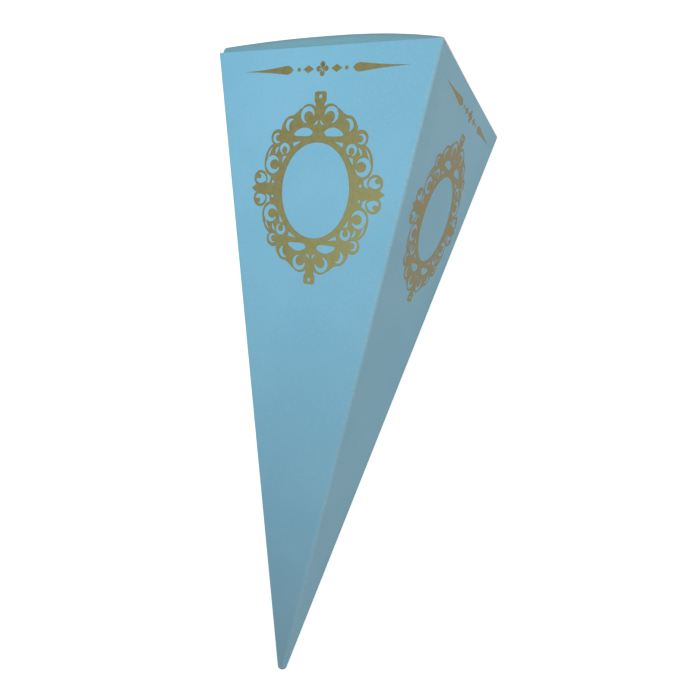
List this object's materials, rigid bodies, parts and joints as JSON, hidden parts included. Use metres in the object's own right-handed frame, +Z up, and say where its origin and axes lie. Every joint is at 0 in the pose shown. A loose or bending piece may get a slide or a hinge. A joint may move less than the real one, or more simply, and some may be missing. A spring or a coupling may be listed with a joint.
{
  "type": "paper cone bag",
  "caption": "Square tapering cone of folded card with a blunt tip and a hinged lid that tucks in behind the front panel.",
  "frame": {"origin": "centre of the bottom face of the bounding box, on the surface that the back panel lies on", "axes": "+Y from the blunt tip towards the lid, +Z up out of the back panel, +X towards the right panel"},
  "size_m": [0.065, 0.187, 0.0641],
  "materials": {
    "card": "matte, dyed pale sky blue outside and white inside",
    "foil": "satin gold foil stamped on the card"
  },
  "bodies": {
    "bag": {"cone_body": "card"},
    "lid": {"lid": "card"}
  },
  "joints": [
    {"name": "lid_hinge", "type": "hinge", "parent": "bag", "child": "lid", "pos_m": [0, 0.093, 0.0005], "axis": [-1, 0, 0], "range_deg": [0, 95]}
  ]
}
